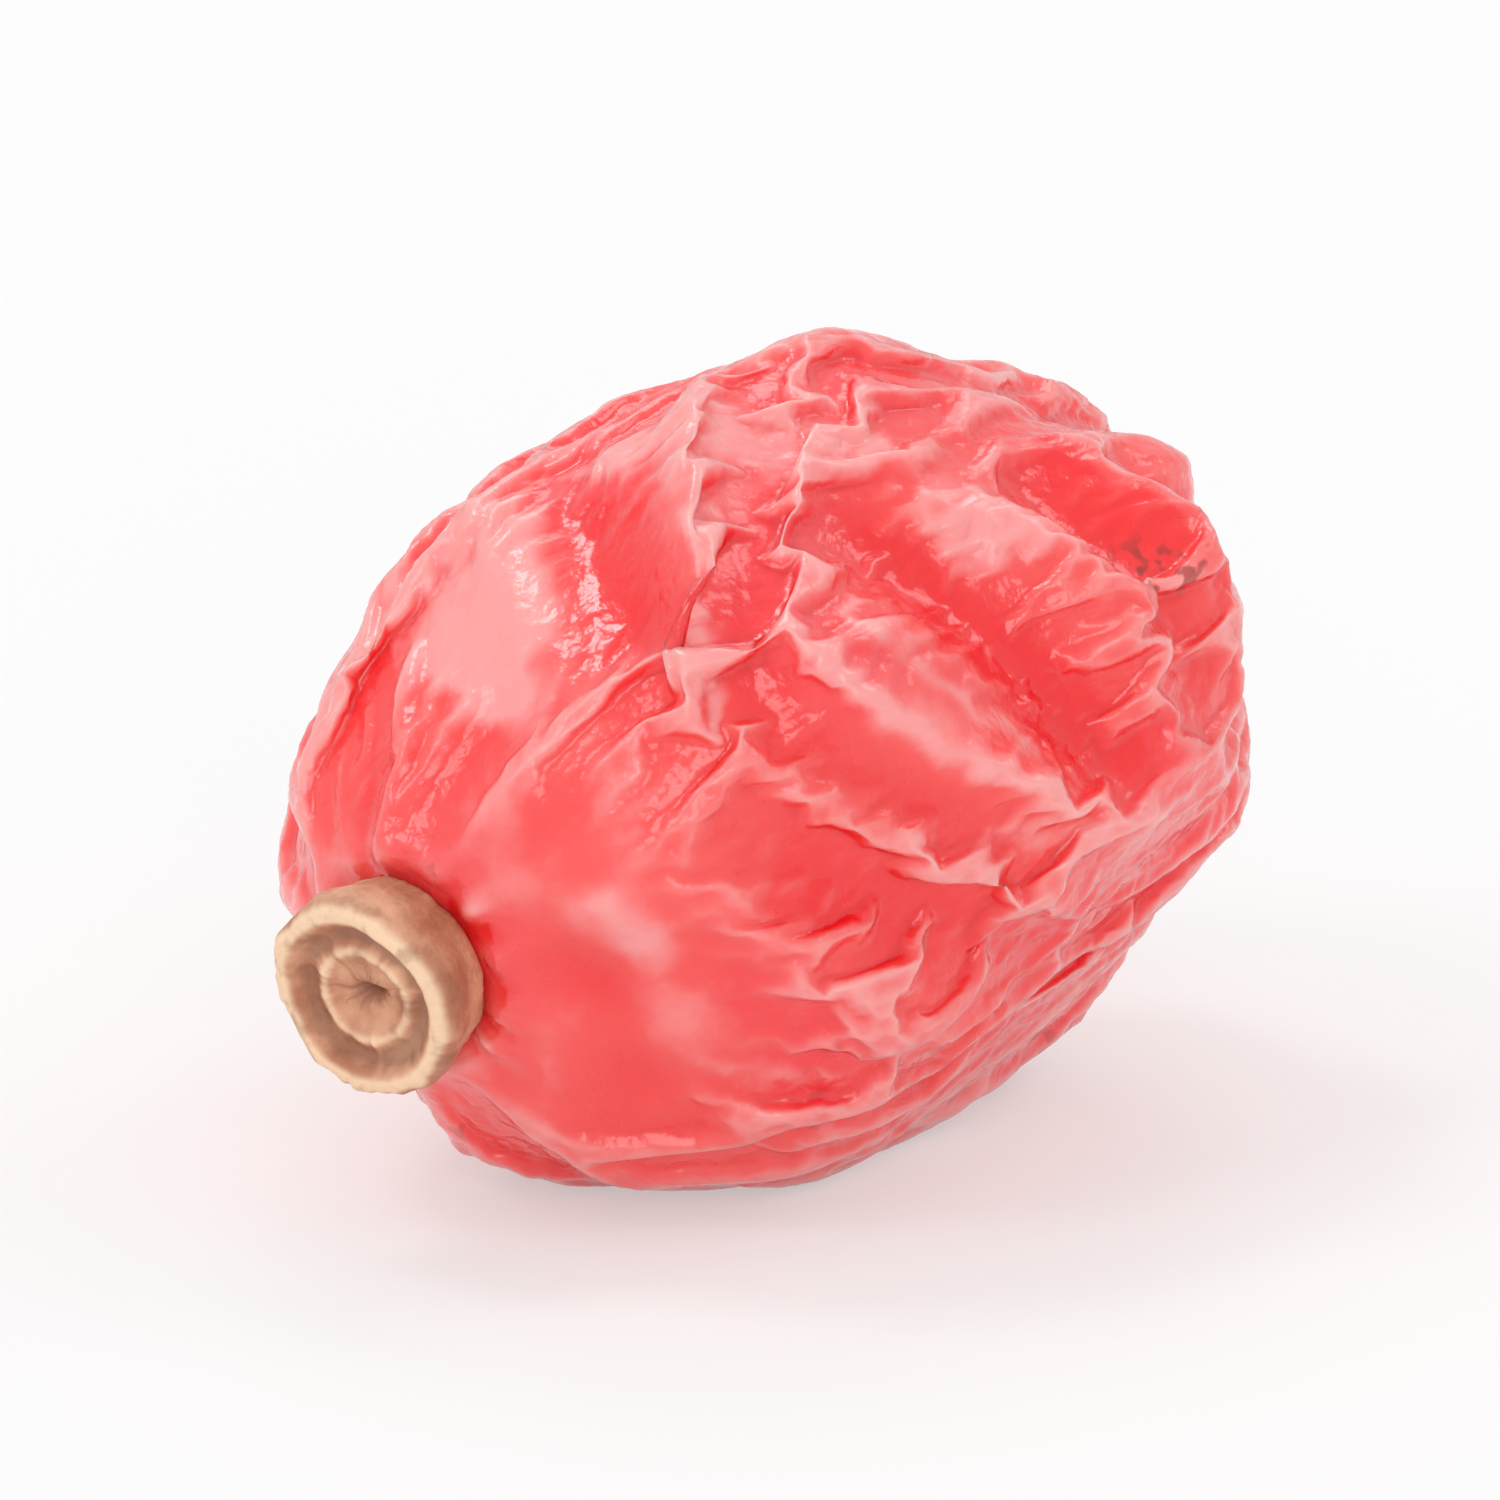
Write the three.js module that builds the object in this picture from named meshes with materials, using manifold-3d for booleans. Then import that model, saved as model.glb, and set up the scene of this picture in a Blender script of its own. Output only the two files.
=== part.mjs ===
// A dried barberry: a small oval berry whose skin has fallen in flats and folds round its dried pulp.
// The flower's stigma still sits on one end like a round button, and the stalk has come off the other end.
// The berry lies on a small flat spot. Its long axis runs along X, and the stigma is at the -X end, a little lower.
// The origin is on the flat spot, straight below the middle of the berry, and +Z is up.

import * as THREE from 'three';
import { mergeVertices } from 'three/addons/utils/BufferGeometryUtils.js';
import Module from 'manifold-3d';

// Driving dimensions, in millimetres and degrees.
const BERRY_LENGTH = 7.5;
const BERRY_WIDTH = 5.75;
const END_BLUNTNESS = 2.3;
const STALK_END_FULLNESS = 0.05;
const AXIS_TILT = 11;
const REST_HEIGHT = 2.65;
const STIGMA_DIAMETER = 1.45;
const STIGMA_HEIGHT = 0.6;
const STIGMA_LEAN = 12;
const STIGMA_SEAT_DIAMETER = 1.4;
const STIGMA_SEAT_GAP = 0.02;

// The skin is meshed from an icosahedron, with this many cuts along each of its edges.
const SKIN_CUTS = 16;
const STIGMA_SIDES = 48;
const MERGE_WITHIN = 1e-5;

// Places on the skin are [along, around], in degrees. Along runs from the stigma end (0) to the stalk end (180).
// Around runs from the top (0) over the -Y side (90) to the underside (180).

// Flats: the middle of each, and how far the skin has sunk there.
const FLAT_EDGE_SHARPNESS = 26;
const FLATS = [
  { middle: [90, -30], sunk: 0.33 },
  { middle: [60, -58], sunk: 0.1 },
  { middle: [46, 2], sunk: 0.3 },
  { middle: [104, 34], sunk: 0.4 },
  { middle: [132, 12], sunk: 0.52 },
  { middle: [82, 76], sunk: 0.2 },
  { middle: [42, 104], sunk: 0.24 },
  { middle: [98, 128], sunk: 0.46 },
  { middle: [142, 88], sunk: 0.42 },
  { middle: [100, -86], sunk: 0.4 },
  { middle: [140, -66], sunk: 0.46 },
  { middle: [66, -130], sunk: 0.26 },
  { middle: [120, -140], sunk: 0.42 },
  { middle: [142, 150], sunk: 0.4 },
];

// Folds: the places each runs through, its half width and its rise. A negative rise is a groove.
const FOLD_STEPS = 8;
const FOLD_END_FADE = 0.5;
const LIP_SHARE = 0.35;
const LIP_DISTANCE = 2;
const FOLDS = [
  { path: [[90, -4], [72, 16], [54, 50]], halfWidth: 0.22, rise: 0.2 },
  { path: [[74, -14], [62, 4], [52, 30]], halfWidth: 0.3, rise: -0.2 },
  { path: [[80, 28], [91, 54], [104, 86]], halfWidth: 0.46, rise: -0.3 },
  { path: [[66, 38], [70, 66], [104, 98]], halfWidth: 0.22, rise: 0.18 },
  { path: [[52, 62], [66, 94], [92, 112]], halfWidth: 0.34, rise: -0.22 },
  { path: [[112, 34], [117, 58], [113, 88]], halfWidth: 0.32, rise: -0.24 },
  { path: [[132, 36], [139, 62], [132, 98]], halfWidth: 0.34, rise: -0.24 },
  { path: [[24, 62], [28, 96], [40, 128]], halfWidth: 0.3, rise: -0.16 },
  { path: [[70, -52], [92, -58], [118, -38]], halfWidth: 0.4, rise: -0.3 },
  { path: [[52, -92], [82, -104], [112, -104]], halfWidth: 0.36, rise: 0.2 },
  { path: [[84, -124], [100, -150], [92, 176]], halfWidth: 0.38, rise: -0.28 },
  { path: [[126, -92], [140, -110], [146, -150]], halfWidth: 0.34, rise: -0.26 },
];

// Pleats gather the skin round each end: how many there are, where they are deepest, how far they reach,
// their rise, where the first one is, and how far they stray from even steps.
const STRAY_TURNS = 3;
const PLEATS = [
  { count: 9, along: 34, reach: 14, rise: 0.05, first: 30, stray: 0.5 },
  { count: 9, along: 150, reach: 16, rise: 0.1, first: 0, stray: 0.7 },
];

// The stalk came off in the middle of a dimple.
const DIMPLE_DEPTH = 0.4;
const DIMPLE_REACH = 15;

const degrees = THREE.MathUtils.degToRad;
const inDegrees = THREE.MathUtils.radToDeg;

function skinDirection([along, around]) {
  const a = degrees(along);
  const b = degrees(around);
  return new THREE.Vector3(-Math.cos(a), -Math.sin(a) * Math.sin(b), Math.sin(a) * Math.cos(b));
}

// The berry's shape before it dried: an oval with blunt ends, fuller towards the stalk end.
function freshPoint(direction) {
  const side = Math.hypot(direction.y, direction.z);
  const size = (Math.abs(direction.x) ** END_BLUNTNESS + side ** END_BLUNTNESS) ** (-1 / END_BLUNTNESS);
  const girth = (BERRY_WIDTH / 2) * (1 + STALK_END_FULLNESS * direction.x);
  return new THREE.Vector3(
    (BERRY_LENGTH / 2) * size * direction.x,
    girth * size * direction.y,
    girth * size * direction.z,
  );
}

// A flat is a plane across the oval, square to the skin at its middle.
function flatPlane({ middle, sunk }) {
  const point = freshPoint(skinDirection(middle));
  const normal = new THREE.Vector3(
    point.x / BERRY_LENGTH ** 2,
    point.y / BERRY_WIDTH ** 2,
    point.z / BERRY_WIDTH ** 2,
  ).normalize();
  return { normal, reach: point.dot(normal) - sunk };
}

// A fold follows a smooth curve over the skin, bent towards its middle place.
function foldLine({ path, halfWidth, rise }) {
  const curve = new THREE.QuadraticBezierCurve3(...path.map(skinDirection));
  const points = curve.getPoints(FOLD_STEPS).map((point) => freshPoint(point.normalize()));
  return { points, halfWidth, rise };
}

const flatPlanes = FLATS.map(flatPlane);
const foldLines = FOLDS.map(foldLine);

// How far a fold lifts the skin at a point: a round ridge or groove with low lips, fading out at its two ends.
function foldRise({ points, halfWidth, rise }, point) {
  const piece = new THREE.Line3();
  const nearest = new THREE.Vector3();
  let distance = Infinity;
  let share = 0;
  for (let i = 0; i < FOLD_STEPS; i += 1) {
    piece.set(points[i], points[i + 1]);
    const step = piece.closestPointToPointParameter(point, true);
    const gap = piece.at(step, nearest).distanceTo(point);
    if (gap < distance) {
      distance = gap;
      share = (i + step) / FOLD_STEPS;
    }
  }
  const across = distance / halfWidth;
  const lip = LIP_SHARE * Math.exp(-((across - LIP_DISTANCE) ** 2));
  const endFade = Math.sin(Math.PI * share) ** FOLD_END_FADE;
  return rise * endFade * (Math.exp(-(across ** 2)) - lip);
}

function pleatRise({ count, along, reach, rise, first, stray }, direction) {
  const around = Math.atan2(-direction.y, direction.z) - degrees(first);
  const fromPleats = inDegrees(Math.acos(-direction.x)) - along;
  const fade = Math.exp(-((fromPleats / reach) ** 2));
  return rise * fade * Math.cos(count * around + stray * Math.sin(STRAY_TURNS * around));
}

function dimpleRise(direction) {
  const fromStalk = inDegrees(Math.acos(direction.x));
  return -DIMPLE_DEPTH * Math.exp(-((fromStalk / DIMPLE_REACH) ** 2));
}

// The dried skin in one direction from the middle of the berry.
function driedPoint(direction) {
  const fresh = freshPoint(direction);
  let crowding = 1;
  for (const { normal, reach } of flatPlanes) {
    crowding += Math.max(0, fresh.dot(normal) / reach) ** FLAT_EDGE_SHARPNESS;
  }
  let rise = dimpleRise(direction);
  for (const fold of foldLines) {
    rise += foldRise(fold, fresh);
  }
  for (const pleat of PLEATS) {
    rise += pleatRise(pleat, direction);
  }
  const dried = fresh.multiplyScalar(crowding ** (-1 / FLAT_EDGE_SHARPNESS));
  return dried.setLength(dried.length() + rise);
}

const wasm = await Module();
wasm.setup();

function solidFrom(geometry) {
  const bare = geometry.clone();
  bare.deleteAttribute('normal');
  bare.deleteAttribute('uv');
  const merged = mergeVertices(bare, MERGE_WITHIN);
  return new wasm.Manifold(
    new wasm.Mesh({
      numProp: 3,
      vertProperties: new Float32Array(merged.attributes.position.array),
      triVerts: new Uint32Array(merged.index.array),
    }),
  );
}

function geometryFrom(solid) {
  const mesh = solid.getMesh();
  const geometry = new THREE.BufferGeometry();
  geometry.setAttribute('position', new THREE.BufferAttribute(new Float32Array(mesh.vertProperties), 3));
  geometry.setIndex(new THREE.BufferAttribute(new Uint32Array(mesh.triVerts), 1));
  geometry.computeVertexNormals();
  return geometry;
}

// A block whose top is level with the origin. It takes off all of the berry that is below it.
function cuttingBlock() {
  const side = 3 * BERRY_LENGTH;
  return new THREE.BoxGeometry(side, side, side).translate(0, 0, -side / 2);
}

// The tilt turns the berry about Y, which lowers the stigma end, and lifts its middle to its height at rest.
const tiltAndLift = new THREE.Matrix4()
  .makeRotationY(-degrees(AXIS_TILT))
  .premultiply(new THREE.Matrix4().makeTranslation(0, 0, REST_HEIGHT));

// The stigma's seat lies across the axis, where the oval is as wide as the seat, and leans towards -Y.
const seatShare = (1 - (STIGMA_SEAT_DIAMETER / BERRY_WIDTH) ** END_BLUNTNESS) ** (1 / END_BLUNTNESS);
const seatPlace = new THREE.Matrix4()
  .makeRotationZ(degrees(STIGMA_LEAN))
  .setPosition((-BERRY_LENGTH / 2) * seatShare, 0, 0);

function makeBerry() {
  const geometry = new THREE.IcosahedronGeometry(1, SKIN_CUTS);
  const position = geometry.attributes.position;
  const direction = new THREE.Vector3();
  for (let i = 0; i < position.count; i += 1) {
    direction.fromBufferAttribute(position, i).normalize();
    position.setXYZ(i, ...driedPoint(direction));
  }
  const beyondSeat = cuttingBlock().rotateY(Math.PI / 2).applyMatrix4(seatPlace);
  const seated = solidFrom(geometry).subtract(solidFrom(beyondSeat));
  const lying = solidFrom(geometryFrom(seated).applyMatrix4(tiltAndLift));
  const rested = lying.subtract(solidFrom(cuttingBlock()));
  const skin = new THREE.MeshStandardMaterial({ color: 0xe8484a, roughness: 0.4, metalness: 0 });
  const berry = new THREE.Mesh(geometryFrom(rested), skin);
  berry.name = 'berry';
  return berry;
}

// The stigma is a short round button: a drum with a raised rim, and a ringed face with a pit in it.
function makeStigma() {
  const r = STIGMA_DIAMETER / 2;
  const h = STIGMA_HEIGHT;
  const profile = [
    [0, 0],
    [0.88 * r, 0],
    [0.91 * r, 0.25 * h],
    [0.98 * r, 0.5 * h],
    [r, 0.68 * h],
    [0.97 * r, 0.88 * h],
    [0.86 * r, h],
    [0.76 * r, 0.94 * h],
    [0.68 * r, 0.79 * h],
    [0.56 * r, 0.77 * h],
    [0.47 * r, 0.84 * h],
    [0.35 * r, 0.74 * h],
    [0.18 * r, 0.72 * h],
    [0.1 * r, 0.58 * h],
    [0, 0.52 * h],
  ];
  const outline = profile.map(([x, y]) => new THREE.Vector2(x, y));
  const cork = new THREE.MeshStandardMaterial({ color: 0xc08a68, roughness: 0.7, metalness: 0 });
  const stigma = new THREE.Mesh(geometryFrom(solidFrom(new THREE.LatheGeometry(outline, STIGMA_SIDES))), cork);
  stigma.name = 'stigma';
  return stigma;
}

const barberry = new THREE.Group();
barberry.add(makeBerry());

const seat = new THREE.Group();
seat.applyMatrix4(seatPlace);
seat.applyMatrix4(tiltAndLift);
const stigma = makeStigma();
stigma.position.x = -STIGMA_SEAT_GAP;
stigma.rotation.z = Math.PI / 2;
seat.add(stigma);
barberry.add(seat);

export default barberry;
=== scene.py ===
import math

import bmesh
import bpy
import numpy as np
from mathutils import Matrix, Vector, noise


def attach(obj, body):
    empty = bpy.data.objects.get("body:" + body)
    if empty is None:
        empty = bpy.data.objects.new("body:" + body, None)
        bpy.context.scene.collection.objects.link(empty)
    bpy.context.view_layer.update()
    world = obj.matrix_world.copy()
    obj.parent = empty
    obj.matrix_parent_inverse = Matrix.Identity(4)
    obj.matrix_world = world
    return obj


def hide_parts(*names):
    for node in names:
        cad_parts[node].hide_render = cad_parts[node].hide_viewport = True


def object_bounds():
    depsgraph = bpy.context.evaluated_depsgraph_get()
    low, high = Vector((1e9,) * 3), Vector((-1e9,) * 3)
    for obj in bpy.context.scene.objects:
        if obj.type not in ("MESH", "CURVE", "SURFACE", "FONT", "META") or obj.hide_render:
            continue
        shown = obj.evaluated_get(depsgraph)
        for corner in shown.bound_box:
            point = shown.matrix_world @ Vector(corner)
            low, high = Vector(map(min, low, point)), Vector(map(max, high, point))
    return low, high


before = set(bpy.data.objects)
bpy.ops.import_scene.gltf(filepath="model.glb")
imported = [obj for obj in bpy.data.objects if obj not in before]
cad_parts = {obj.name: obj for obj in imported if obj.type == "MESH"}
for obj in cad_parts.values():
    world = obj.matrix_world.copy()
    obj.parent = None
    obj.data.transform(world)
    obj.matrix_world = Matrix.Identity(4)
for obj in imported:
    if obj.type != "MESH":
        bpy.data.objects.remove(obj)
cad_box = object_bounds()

# The berry, and first the dried pulp under its skin. A fresh barberry is a smooth oval. Its pulp shrank as
# it dried and sank in, which gave the berry its flats, folds and pleats. The frame's own solid has them too.
MM = 0.001
BERRY_LENGTH = 7.5
BERRY_WIDTH = 5.75
END_BLUNTNESS = 2.3
STALK_END_FULLNESS = 0.05
AXIS_TILT = math.radians(11)
REST_HEIGHT = 2.65

# Sizes are in millimetres. A place on the berry is in degrees: along it from the stigma to the stalk end,
# and around it from the top, over the -Y side, to the underside. Each flat: its place and how deep it sank.
FLAT_EDGE_SHARPNESS = 26
FLATS = (
    (90, -30, 0.33),
    (60, -58, 0.1),
    (46, 2, 0.3),
    (104, 34, 0.4),
    (132, 12, 0.52),
    (82, 76, 0.2),
    (42, 104, 0.24),
    (98, 128, 0.46),
    (142, 88, 0.42),
    (100, -86, 0.4),
    (140, -66, 0.46),
    (66, -130, 0.26),
    (120, -140, 0.42),
    (142, 150, 0.4),
)

# Each fold: the places where it starts, bends and ends, its half width, and its rise, below 0 in a furrow.
FOLD_STEPS = 8
FOLD_END_FADE = 0.5
LIP_SHARE = 0.35
LIP_DISTANCE = 2
FOLDS = (
    ((90, -4), (72, 16), (54, 50), 0.22, 0.2),
    ((74, -14), (62, 4), (52, 30), 0.3, -0.2),
    ((80, 28), (91, 54), (104, 86), 0.46, -0.3),
    ((66, 38), (70, 66), (104, 98), 0.22, 0.18),
    ((52, 62), (66, 94), (92, 112), 0.34, -0.22),
    ((112, 34), (117, 58), (113, 88), 0.32, -0.24),
    ((132, 36), (139, 62), (132, 98), 0.34, -0.24),
    ((24, 62), (28, 96), (40, 128), 0.3, -0.16),
    ((70, -52), (92, -58), (118, -38), 0.4, -0.3),
    ((52, -92), (82, -104), (112, -104), 0.36, 0.2),
    ((84, -124), (100, -150), (92, 176), 0.38, -0.28),
    ((126, -92), (140, -110), (146, -150), 0.34, -0.26),
)

# Each ring of pleats: how many, how far along they are, their reach, rise, first place round and stray.
STRAY_TURNS = 3
PLEATS = (
    (9, 34, 14, 0.05, 30, 0.5),
    (9, 150, 16, 0.1, 0, 0.7),
)
DIMPLE_DEPTH = 0.4
DIMPLE_REACH = 15

# The stigma sits on a flat across the axis, with a low collar of gathered skin round it.
STIGMA_LEAN = math.radians(12)
STIGMA_SEAT_DIAMETER = 1.4
SEAT_SHARE = (1 - (STIGMA_SEAT_DIAMETER / BERRY_WIDTH) ** END_BLUNTNESS) ** (1 / END_BLUNTNESS)
SEAT_MIDDLE = np.array([-BERRY_LENGTH / 2 * SEAT_SHARE, 0, 0])
SEAT_OUTWARD = np.array([-math.cos(STIGMA_LEAN), -math.sin(STIGMA_LEAN), 0])
SEAT_EDGE = 0.08
COLLAR_RADIUS = 0.86
COLLAR_WIDTH = 0.13
COLLAR_RISE = 0.05
COLLAR_PLEATS = 13
COLLAR_PLEAT_SHARE = 0.5
COLLAR_STRAY = 1.6


def skin_direction(along, around):
    a = math.radians(along)
    b = math.radians(around)
    return np.array([-math.cos(a), -math.sin(a) * math.sin(b), math.sin(a) * math.cos(b)])


def degrees_between(cosine):
    return np.degrees(np.arccos(np.clip(cosine, -1, 1)))


def fresh_points(directions):
    x, y, z = directions.T
    size = (np.abs(x) ** END_BLUNTNESS + np.hypot(y, z) ** END_BLUNTNESS) ** (-1 / END_BLUNTNESS)
    girth = BERRY_WIDTH / 2 * (1 + STALK_END_FULLNESS * x)
    return np.column_stack((BERRY_LENGTH / 2 * size * x, girth * size * y, girth * size * z))


def flats_shrink(points):
    crowding = np.ones(len(points))
    for along, around, sunk in FLATS:
        middle = fresh_points(skin_direction(along, around)[None])[0]
        normal = middle / np.array([BERRY_LENGTH, BERRY_WIDTH, BERRY_WIDTH]) ** 2
        normal /= np.linalg.norm(normal)
        reach = middle @ normal - sunk
        crowding += np.maximum(0, points @ normal / reach) ** FLAT_EDGE_SHARPNESS
    return crowding ** (-1 / FLAT_EDGE_SHARPNESS)


def beside_line(points, start, bend, end):
    """How far each point is from a curved line on the berry, and how far along the line it is."""
    a, b, c = (skin_direction(*place) for place in (start, bend, end))
    t = np.linspace(0, 1, FOLD_STEPS + 1)[:, None]
    line = (1 - t) ** 2 * a + 2 * t * (1 - t) * b + t**2 * c
    line = fresh_points(line / np.linalg.norm(line, axis=1, keepdims=True))
    distance = np.full(len(points), np.inf)
    share = np.zeros(len(points))
    for i in range(FOLD_STEPS):
        along = line[i + 1] - line[i]
        step = np.clip((points - line[i]) @ along / (along @ along), 0, 1)
        gap = np.linalg.norm(points - line[i] - step[:, None] * along, axis=1)
        share = np.where(gap < distance, (i + step) / FOLD_STEPS, share)
        distance = np.minimum(gap, distance)
    return distance, share


def fold_rise(points, fold):
    start, bend, end, half_width, rise = fold
    distance, share = beside_line(points, start, bend, end)
    across = distance / half_width
    lip = LIP_SHARE * np.exp(-((across - LIP_DISTANCE) ** 2))
    return rise * np.sin(np.pi * share) ** FOLD_END_FADE * (np.exp(-(across**2)) - lip)


def pleat_rise(directions, pleat):
    count, along, reach, rise, first, stray = pleat
    around = np.arctan2(-directions[:, 1], directions[:, 2]) - math.radians(first)
    fade = np.exp(-(((degrees_between(-directions[:, 0]) - along) / reach) ** 2))
    return rise * fade * np.cos(count * around + stray * np.sin(STRAY_TURNS * around))


def dimple_rise(directions):
    return -DIMPLE_DEPTH * np.exp(-((degrees_between(directions[:, 0]) / DIMPLE_REACH) ** 2))


def seated(points):
    """Presses the stigma end flat, with a smooth edge, and gathers a collar round the flat."""
    beyond = (points - SEAT_MIDDLE) @ SEAT_OUTWARD
    flat = points - (0.5 * (beyond + np.hypot(beyond, SEAT_EDGE)))[:, None] * SEAT_OUTWARD
    from_middle = flat - SEAT_MIDDLE
    sideways = np.array([SEAT_OUTWARD[1], -SEAT_OUTWARD[0], 0])
    radius = np.hypot(from_middle @ sideways, from_middle[:, 2])
    around = np.arctan2(from_middle[:, 2], from_middle @ sideways)
    ring = np.exp(-(((radius - COLLAR_RADIUS) / COLLAR_WIDTH) ** 2)) * (points[:, 0] < 0)
    pleats = 1 + COLLAR_PLEAT_SHARE * np.cos(COLLAR_PLEATS * around + COLLAR_STRAY * np.sin(2 * around))
    return flat + (COLLAR_RISE * ring * pleats)[:, None] * SEAT_OUTWARD


def pulp_points(directions):
    fresh = fresh_points(directions)
    rise = dimple_rise(directions)
    for fold in FOLDS:
        rise += fold_rise(fresh, fold)
    for pleat in PLEATS:
        rise += pleat_rise(directions, pleat)
    dried = fresh * flats_shrink(fresh)[:, None]
    length = np.linalg.norm(dried, axis=1)
    return seated(dried * (1 + rise / length)[:, None])


# The skin. A ripe barberry has a thin, tough, waxy skin. The pulp dries away inside it while the skin keeps
# its area, so it clings, lifts and buckles into ridges. Here a closed mesh is given spare length all over
# and settles on the shrunken pulp. Each stage: cuts in an edge, rounds, spare length and stiffness.
WRINKLE_STAGES = (
    (23, 400, 0.14, 0.04),
    (1, 250, 0.08, 0.02),
    (1, 60, 0.03, 0.01),
)
WRINKLE_SEED = 3
SKIN_THICKNESS = 0.06
NEIGHBOURS = 6
SMOOTHING_ROUNDS = 2
ROUNDS_PER_HALVING = 4
PULL = 0.9
CLING = 0.003
GRIP = 0.002
SUNK_LEFT = 0.1
ROUGH_START = 0.15
TINY = 1e-9

# The spare length is patchy, more across the berry than along it, and less at its ends and where the skin
# is pulled taut. Each taut place: where it is, and its reach in degrees.
SPARE_ACROSS = 1.0
SPARE_PATCH_SCALE = 1.7
SPARE_PATCH_START = Vector((7.3, 1.1, 4.2))
SPARE_PATCHINESS = 1.1
LEAST_SPARE = 0.25
MOST_SPARE = 2
SMOOTH_SEAT = 12
SMOOTH_SEAT_EDGE = 30
SMOOTH_STALK_END = 7
SMOOTH_STALK_END_EDGE = 14
TAUT = 0.85
TAUT_PLACES = (
    (51, 3, 14),
    (61, 13, 8),
    (38, 104, 18),
    (30, 62, 14),
    (82, -84, 13),
)


def evened(values, links, rounds):
    """Moves each point halfway to the average of its neighbours, again and again."""
    for _ in range(rounds):
        values = 0.5 * values + 0.5 * values[links].mean(1)
    return values


def outward(points, corners):
    a, b, c = (points[corners[:, k]] for k in range(3))
    square = np.cross(b - a, c - a)
    total = np.zeros_like(points)
    for k in range(3):
        for axis in range(3):
            total[:, axis] += np.bincount(corners[:, k], square[:, axis], len(points))
    return total / np.linalg.norm(total, axis=1, keepdims=True)


def linked(mesh):
    """Each point's six neighbours. A point with five counts itself once."""
    count = len(mesh.verts)
    ends = np.array([[v.index for v in e.verts] for e in mesh.edges])
    ends = np.concatenate((ends, ends[:, ::-1]))
    ends = ends[np.argsort(ends[:, 0], kind="stable")]
    first = np.searchsorted(ends[:, 0], np.arange(count))
    place = np.arange(len(ends)) - first[ends[:, 0]]
    links = np.repeat(np.arange(count)[:, None], NEIGHBOURS, axis=1)
    links[ends[:, 0], place] = ends[:, 1]
    return links


def spare_length(directions, across, amount):
    patchy = [noise.noise(Vector(d) * SPARE_PATCH_SCALE + SPARE_PATCH_START) for d in directions]
    along = degrees_between(-directions[:, 0])
    spare = amount * np.clip(1 + SPARE_PATCHINESS * np.array(patchy), LEAST_SPARE, MOST_SPARE)
    spare *= np.clip((along - SMOOTH_SEAT) / SMOOTH_SEAT_EDGE, 0, 1)
    spare *= np.clip((180 - along - SMOOTH_STALK_END) / SMOOTH_STALK_END_EDGE, 0, 1)
    for place_along, place_around, reach in TAUT_PLACES:
        off = degrees_between(directions @ skin_direction(place_along, place_around))
        spare *= 1 - TAUT * np.exp(-((off / reach) ** 2))
    return 1 + spare[:, None] * (1 + SPARE_ACROSS * across)


def settle(pulp, normals, links, start, rest, rounds, stiffness):
    """Lets the skin spread to its rest lengths, bend smoothly, cling to the pulp and stay out of it."""
    points = start.astype(np.float32)
    pulp = pulp.astype(np.float32)
    normals = normals.astype(np.float32)
    rest = rest.astype(np.float32)
    real = rest > 0
    for _ in range(rounds):
        span = points[links] - points[:, None]
        length = np.sqrt((span * span).sum(2)) + np.float32(TINY)
        stretch = np.where(real, (length - rest) / length, 0)
        points += np.float32(PULL) * (span * stretch[:, :, None]).mean(1)
        lift = points - pulp
        bend = lift[links].mean(1) - lift
        lift -= np.float32(stiffness) * (bend[links].mean(1) - bend)
        gap = (lift * normals).sum(1)
        gap = np.where(gap > 0, np.float32(1 - CLING) * gap, np.float32(SUNK_LEFT) * gap)
        along = lift - normals * (lift * normals).sum(1)[:, None]
        lift = along * np.float32(1 - GRIP) + normals * gap[:, None]
        points = pulp + lift
    return lift.astype(float)


random = np.random.default_rng(WRINKLE_SEED)
skin_mesh = bmesh.new()
bmesh.ops.create_icosphere(skin_mesh, subdivisions=1, radius=1)
skin_mesh.verts.layers.float_vector.new("lift")
for stage, (cuts, rounds, spare, stiffness) in enumerate(WRINKLE_STAGES):
    bmesh.ops.subdivide_edges(skin_mesh, edges=skin_mesh.edges, cuts=cuts, use_grid_fill=True)
    lift_layer = skin_mesh.verts.layers.float_vector["lift"]
    skin_mesh.verts.index_update()
    for v in skin_mesh.verts:
        v.co.normalize()
    directions = np.array([v.co for v in skin_mesh.verts])
    corners = np.array([[v.index for v in f.verts] for f in skin_mesh.faces])
    links = linked(skin_mesh)
    pulp = evened(pulp_points(directions), links, SMOOTHING_ROUNDS * ROUNDS_PER_HALVING**stage)
    normals = outward(pulp, corners)
    pulp -= normals * SKIN_THICKNESS
    lift = evened(np.array([v[lift_layer] for v in skin_mesh.verts]), links, SMOOTHING_ROUNDS)
    span = pulp[links] - pulp[:, None]
    rest = np.linalg.norm(span, axis=2)
    lengthways = np.array([1.0, 0, 0]) - normals * normals[:, :1]
    lengthways /= np.maximum(np.linalg.norm(lengthways, axis=1, keepdims=True), TINY)
    across = 0.5 - np.abs((span * lengthways[:, None]).sum(2)) / np.maximum(rest, TINY)
    lifted = pulp + lift
    rest = np.maximum(rest, np.linalg.norm(lifted[links] - lifted[:, None], axis=2))
    rest *= spare_length(directions, across, spare)
    rest[links == np.arange(len(links))[:, None]] = 0
    rough = random.random(len(pulp))[:, None] ** 2 * np.median(rest) * ROUGH_START
    lift = settle(pulp, normals, links, lifted + normals * rough, rest, rounds, stiffness)
    for v, offset in zip(skin_mesh.verts, lift):
        v[lift_layer] = offset
skin_points = pulp + lift

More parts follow.
